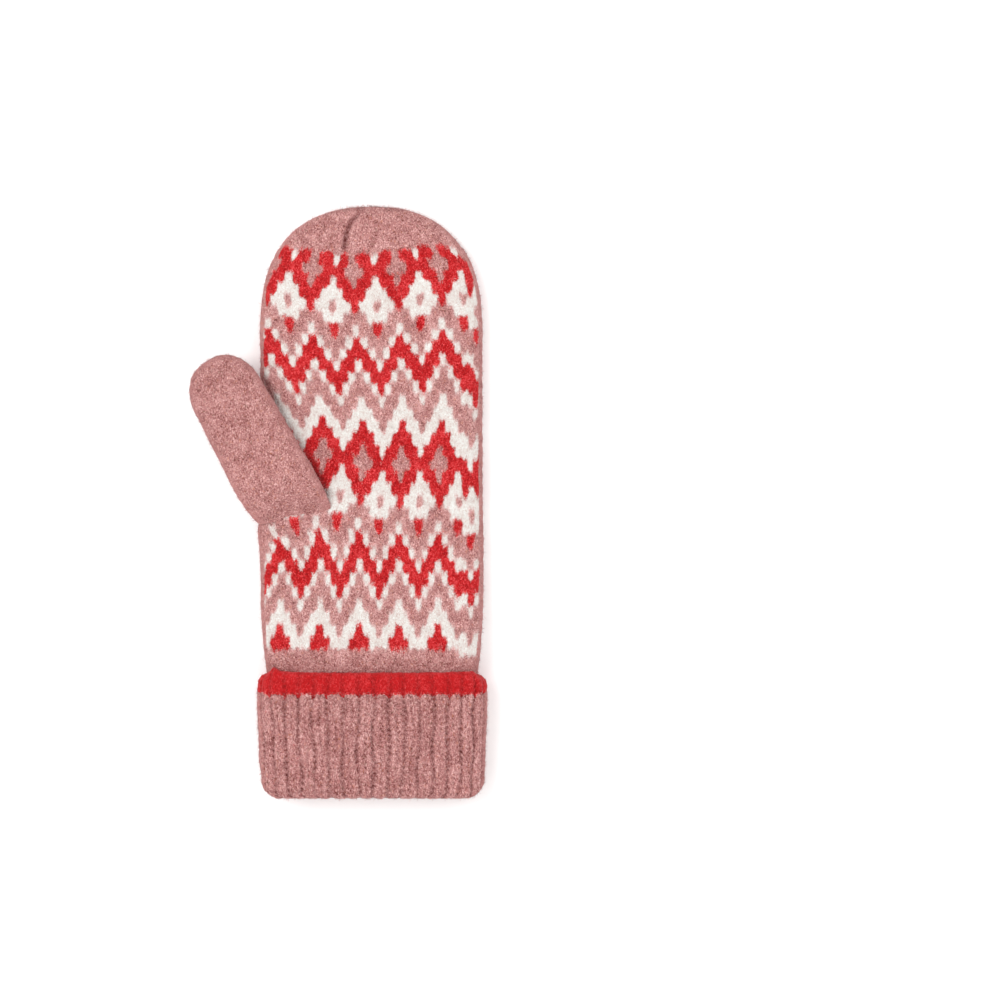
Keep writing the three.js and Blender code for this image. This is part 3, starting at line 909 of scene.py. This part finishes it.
def cuff_ring(y, out, ribbed, turned, reach=0.0):
    """One ring of the cuff, out from the hand's outside at the wrist. turned is the share of the
    rounded corner at the fold or, below zero, at the edge, and reach the share of the zigzag"""
    width, thick = WRIST_WIDTH + out, WRIST_THICK + out
    shares = 0.25 - np.arange(CUFF_COLUMNS + 1) / CUFF_COLUMNS
    x, z = oval(width, thick, HAND_SQUARE, shares)
    ahead_x, ahead_z = oval(width, thick, HAND_SQUARE, shares - SIDESTEP)
    back_x, back_z = oval(width, thick, HAND_SQUARE, shares + SIDESTEP)
    normal = np.stack([back_z - ahead_z, ahead_x - back_x], axis=1)
    normal /= np.linalg.norm(normal, axis=1, keepdims=True)
    shape = rib_height(rib_phase(y))
    rib = ribbed * RIB_DEPTH * shape
    radius = CORNER if turned > 0 else EDGE_CORNER
    past = np.clip(np.abs(x) - (width - radius), 0, radius)
    corner = turned * (radius - np.sqrt(radius ** 2 - past ** 2))
    height = y + corner + reach * ZIGZAG * shape
    z = CUFF_CENTRE + z + normal[:, 1] * rib
    return np.stack([x + normal[:, 0] * rib, height, z], axis=1)


def walked(profile):
    """The places of a profile walked round the cuff, which rib they lie on, and what shows"""
    places = np.array([cuff_ring(*ring[:5]) for ring in profile])
    phases = np.array([rib_phase(ring[0]) for ring in profile])
    face = np.array([ring[5] for ring in profile])[:, None] * np.ones(CUFF_COLUMNS + 1)
    return places, phases, face


def settle(places):
    """Presses the cloth flat where it rests"""
    places[..., 2] = np.maximum(places[..., 2], 0)
    return places


print("a rib's height from groove to groove:", rib_height(np.linspace(0.5, 1.5, 9)).round(2))

# %% Knit the cuff
inner_top = CUFF_HEIGHT - TUCK - GAP
profile = []
top = BAND - SEAM
for y in [top, top - 0.15, *np.linspace(top - 0.6, FOLD_RADIUS, 60)[:-1]]:
    turned = 1 - shift(y, FOLD_RADIUS, 22)
    profile.append((y, OUTER + swell(y), 1.0, turned, shift(y, BAND - 4, top), 1))
for turn in np.linspace(np.pi, 0, 15):
    y = FOLD_RADIUS * (1 - np.sin(turn))
    out = GAP / 2 - FOLD_RADIUS * np.cos(turn) + swell(FOLD_RADIUS) * turn / np.pi
    profile.append((y, out, 0.3 + 0.7 * turn / np.pi, 1.0, -0.4 * np.sin(turn), 1))
for y in np.linspace(FOLD_RADIUS, inner_top, 22)[1:]:
    profile.append((y, -CUFF_WALL, -0.3, 1 - shift(y, FOLD_RADIUS, 22), 0, 0))
profile.append((inner_top, 0.0, 0.0, 0.0, 0, 0))
profile.append((FOLD_RADIUS, 0.0, 0.0, 1.0, 0, 0))
profile.append((FOLD_RADIUS, GAP, 0.0, 1.0, 0, 0))
profile.append((top, GAP, 0.0, 0.0, 0, 0))
profile.append((top, OUTER + swell(top) - 0.15, 1.0, 0.0, 1, 1))
profile.append(profile[0])
cuff_places, phases, face = walked(profile)
groove = -rib_height(phases)
x, y = cuff_places[..., 0], cuff_places[..., 1]
bumps = 0.16 * lumps(cuff_places, 3.4, 6) + 0.24 * lumps(cuff_places, 1.8, 7)
raised = cuff_places + normals_of(cuff_places) * (bumps * face)[..., None]
# near the fold both sides are drawn in, the left one more
drawn_in = 0.9 * shift(-x, 36, 50) - 0.2 * shift(x, 36, 50)
raised[..., 0] += drawn_in * shift(20 - y, 0, 12) * face
raised[-1] = raised[0]
print("cuff walked in", len(profile), "rows")

# %% The cuff's grooves and their painted shade
side = np.abs(x) > WRIST_WIDTH + OUTER - 2.2
# painted shade down each rib's middle, fainter towards the cuff's sides
middle = bell(2 * np.abs(phases - np.rint(phases)), 0.2)
middle *= 1 - 0.6 * shift(np.abs(x + 4), 20, 36)
# dashes a stitch apart and patches break the painted shade up
dash = np.sin(2 * np.pi * y / STITCH_STEP + 9 * np.sin(3 * np.round(2 * phases)))
broken = np.clip(0.6 + 0.4 * dash + 0.45 * lumps(cuff_places, 5, 12), 0, 1)
# painted shade in a thin line along the fold, on its left part
fold_shade = 0.55 * bell(y - 2.9, 0.6) * shift(-x, 0, 18)
# painted shade in the grooves and down the ribs' middles
groove_shade = (0.88 * shift(groove, 0.25, 0.85) + 0.84 * middle) * broken
# a soft painted shade from each ridge down into its grooves
groove_shade += 0.1 * shift(groove, -0.35, 0.5)
below = top - ZIGZAG * groove - y
notes = {
    "red": face * 0.75 * (1 - shift(below, 0.3, 1.3 + 1.6 * shift(groove, 0, 1))) * ~side,
    "cream": np.zeros(face.shape),
    "rim": 0.8 * side * face,
    "shade": np.maximum(groove_shade, fold_shade) * face,
    "outside": face,
}
piece, column, row = cloth("knit_cuff", CUFF_COLUMNS, len(profile) - 1)
knit_cuff = roll_up(piece, column, row, settle(raised), notes)
knit_cuff.data.materials.append(patterned_wool("cuff_wool", 0.6))
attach(knit_cuff, "root")
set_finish(knit_cuff, "rib_knit")
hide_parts("cuff")

# %% [markdown]
# ## The red border
#
# Ten millimetres of red end the turned-up layer. Its lower edge runs in a zigzag, down in every
# groove and up on every rib, and its upper edge is a soft roll.

# %% Knit the border
profile = []
shoulder, lip = CUFF_HEIGHT - 2.4, GAP + 0.9
for y in [BAND, BAND + 0.15, *np.linspace(BAND + 0.6, shoulder, 13)[:-1]]:
    ribbed = 0.9 - 0.45 * (y - BAND) / (shoulder - BAND)
    profile.append((y, OUTER + swell(y), ribbed, 0, 1 - shift(y, BAND, BAND + 5), 1))
for turn in np.linspace(0, np.pi / 2, 7):
    y = shoulder + (CUFF_HEIGHT - shoulder) * np.sin(turn)
    out = lip + (OUTER + swell(shoulder) - lip) * np.cos(turn)
    profile.append((y, out, 0.45 - 0.1 * turn, -np.sin(turn), 0, 1))
profile.append((CUFF_HEIGHT - 0.6, GAP + 0.1, 0.2, -1.0, 0, 1))
profile.append((CUFF_HEIGHT - 3, GAP, 0.0, -0.5, 0, 0))
profile.append((BAND, GAP, 0.0, 0.0, 0, 0))
profile.append((BAND, OUTER + swell(BAND) - 0.15, 0.9, 0.0, 1, 1))
profile.append(profile[0])
band_places, phases, face = walked(profile)
groove = -rib_height(phases)
band_normals = normals_of(band_places)
x, y, z = (band_places[..., k] for k in range(3))
# the edge rises to a small peak on the left, its corners are drawn in and its middle sags
peak = 1.8 * bell(x + 44.5, 2.2) * shift(y, 54, 58)
corner = np.where(x > 0, 3.8, -2.8) * shift(np.abs(x), 44, 52)
x -= corner * shift(y, 52.5, 58.5) * face
bumps = 0.25 * lumps(band_places, 3.0, 8) + 0.2 * lumps(band_places, 1.6, 9)
raised = band_places + band_normals * (bumps * face)[..., None]
sag = 0.65 * (1 - (x / 48) ** 2) * shift(y, 53, 57)
raised[..., 1] += (peak * (z > CUFF_CENTRE) - sag) * face
raised[-1] = raised[0]
side = np.abs(x) > WRIST_WIDTH + OUTER - 1.8
above = y - BAND + ZIGZAG * groove
notes = {
    "red": face * (0.6 + 0.4 * shift(above, 0, 0.8)) * np.where(side, 0.8, 1.0),
    "cream": np.zeros(face.shape),
    "rim": 0.5 * side * face,
    # a deeper red all over the band, and painted shade in its grooves
    "shade": (0.12 + 0.25 * shift(groove, -0.2, 1.0)) * face,
    "outside": face,
}
piece, column, row = cloth("knit_border", CUFF_COLUMNS, len(profile) - 1)
knit_border = roll_up(piece, column, row, settle(raised), notes)
knit_border.data.materials.append(patterned_wool("border_wool", 0.5, 0.5))
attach(knit_border, "root")
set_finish(knit_border, "red_knit")
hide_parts("cuff_edge")

# %% [markdown]
# ## The hairs of the wool
#
# Brushing lifts thousands of short hairs out of the yarn. One hair is a thin strip of two faces
# that bends as it tapers. Arrays of numbers repeat it over the cloth, each copy at its own place,
# length and lean, and one mesh joins the copies of a yarn, which keeps the scene light.

# %% Hairs
HAIR_WIDTH, HAIR_SUNK, ABOVE_FLOOR = 0.11, 0.04, 0.02
HAIR_CELL = np.array([
    [0.1, 0.05], [0.9, 0.05], [0.9, 0.5], [0.1, 0.5],
    [0.1, 0.5], [0.9, 0.5], [0.9, 0.95], [0.1, 0.95],
])


def values_on(mesh, name):
    """An attribute's value at each corner of a mesh"""
    found = np.zeros(len(mesh.vertices), np.float32)
    mesh.attributes[name].data.foreach_get("value", found)
    return found


def faces_of(mesh):
    """The four corners of every face with four, as indices and as places"""
    corners = np.empty(len(mesh.loops), np.int32)
    mesh.loops.foreach_get("vertex_index", corners)
    starts, totals = np.empty((2, len(mesh.polygons)), np.int32)
    mesh.polygons.foreach_get("loop_start", starts)
    mesh.polygons.foreach_get("loop_total", totals)
    four = corners[starts[totals == 4][:, None] + np.arange(4)]
    places = np.empty(len(mesh.vertices) * 3, np.float32)
    mesh.vertices.foreach_get("co", places)
    return four, places.reshape(-1, 3)[four]


def unit(vectors):
    return vectors / np.maximum(np.linalg.norm(vectors, axis=1, keepdims=True), 1e-12)


def hair_roots(skin, yarn, count, random):
    """Places on the faces of skin that show that yarn, and the cloth's normals there"""
    four, places = faces_of(skin.data)
    red, cream, outside = (
        values_on(skin.data, name)[four].mean(axis=1) for name in ("red", "cream", "outside")
    )
    shown = np.where(cream > 0.5, CREAM_YARN, np.where(red > 0.5, RED_YARN, ROSE_YARN))
    across, along = places[:, 1] - places[:, 0], places[:, 3] - places[:, 0]
    upright = np.cross(across, along)
    area = np.linalg.norm(upright, axis=1) * (outside > 0.9) * (shown == yarn)
    face = random.choice(len(four), count, p=area / area.sum())
    u, v = random.random((2, count, 1))
    at = places[face]
    left, right = (1 - v) * at[:, 0] + v * at[:, 3], (1 - v) * at[:, 1] + v * at[:, 2]
    return (1 - u) * left + u * right, unit(upright[face])


def hair_strips(root, normal, length, random):
    """Six corners of each hair: it leans over the cloth, bends and tapers"""
    count = len(root)
    aside = random.normal(size=(count, 3))
    aside = unit(aside - normal * (aside * normal).sum(axis=1, keepdims=True))
    lean = np.radians(6 + 62 * random.random((count, 1)) ** 1.8)
    way = aside * np.cos(lean) + normal * np.sin(lean)
    bend = unit(np.cross(way, random.normal(size=(count, 3))))
    long = 0.45 + 0.8 * random.random((count, 1)) + 1.6 * random.random((count, 1)) ** 14
    spin = random.uniform(-1.3, 1.3, (count, 1))
    flat = unit(np.cross(way, normal))
    flat = flat * np.cos(spin) + np.cross(way, flat) * np.sin(spin)
    half = HAIR_WIDTH * MM / 2 * (0.7 + 0.6 * random.random((count, 1)))
    droop = 0.4 * bend - 0.3 * normal * np.sin(lean)
    start = root - normal * HAIR_SUNK * MM
    points = []
    for share, thin in ((0.0, 1.0), (0.5, 0.85), (1.0, 0.15)):
        spine = start + length * MM * long * (share * way + share ** 2 * droop)
        points += [spine - flat * half * thin, spine + flat * half * thin]
    points = np.stack(points, axis=1)
    points[..., 2] = np.maximum(points[..., 2], ABOVE_FLOOR * MM)
    return points


def hair_mesh(name, points, tones):
    """One mesh of all the strips, with a tone for each hair and a cell of the UV map for each"""
    count = len(points)
    first = np.arange(count)[:, None, None] * 6
    quads = (first + np.array([[0, 1, 3, 2], [2, 3, 5, 4]])).reshape(-1, 4)
    mesh = bpy.data.meshes.new(name)
    mesh.from_pydata(points.reshape(-1, 3), [], quads)
    tone = mesh.attributes.new("tone", "FLOAT", "POINT")
    tone.data.foreach_set("value", np.repeat(tones, 6).astype(np.float32))
    cells = int(np.ceil(np.sqrt(count)))
    cell = np.stack([np.arange(count) % cells, np.arange(count) // cells], axis=1)[:, None]
    layout = mesh.uv_layers.new(name="OFBake")
    layout.data.foreach_set("uv", ((cell + HAIR_CELL) / cells).astype(np.float32).ravel())
    return mesh


def hair_wool(name, tones):
    """A hair's finish: its own tone gives its colour"""
    finish = Finish(name)
    tone = finish.attribute("tone")
    colour = finish.mix(finish.step(tone, 0.15, 0.5), tones["dark"], tones["mid"])
    colour = finish.mix(finish.step(tone, 0.5, 1.0), colour, tones["light"])
    finish.set(finish.shader.inputs["Base Color"], colour)
    finish.set(finish.shader.inputs["Roughness"], 0.9)
    finish.set(finish.shader.inputs["Specular IOR Level"], 0.15)
    return finish.material


def hairs(name, skin, yarn, count, length, tones, seed):
    """Grows count hairs on the faces of skin that show that yarn, as one piece"""
    random = np.random.default_rng(seed)
    root, normal = hair_roots(skin, yarn, count, random)
    points = hair_strips(root, normal, length, random)
    mesh = hair_mesh(name, points, random.random(count))
    mesh.materials.append(hair_wool(name + "_wool", tones))
    piece = bpy.data.objects.new(name, mesh)
    bpy.context.scene.collection.objects.link(piece)
    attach(piece, "root")
    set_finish(piece, skin["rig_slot"])
    print(name, "has", count, "hairs")


# %% Brush the mitten
RED_HAIRS = {**RED, "light": dye(230, 96, 96)}
hairs("hairs_hand_rose", knit_hand, ROSE_YARN, 30000, 1.5, ROSE, 11)
hairs("hairs_hand_red", knit_hand, RED_YARN, 18000, 1.3, RED_HAIRS, 12)
hairs("hairs_hand_cream", knit_hand, CREAM_YARN, 18000, 1.3, CREAM, 13)
hairs("hairs_thumb", knit_thumb, ROSE_YARN, 11000, 1.4, ROSE, 14)
hairs("hairs_cuff", knit_cuff, ROSE_YARN, 24000, 1.5, ROSE, 15)
hairs("hairs_border", knit_border, RED_YARN, 6000, 1.5, RED, 16)
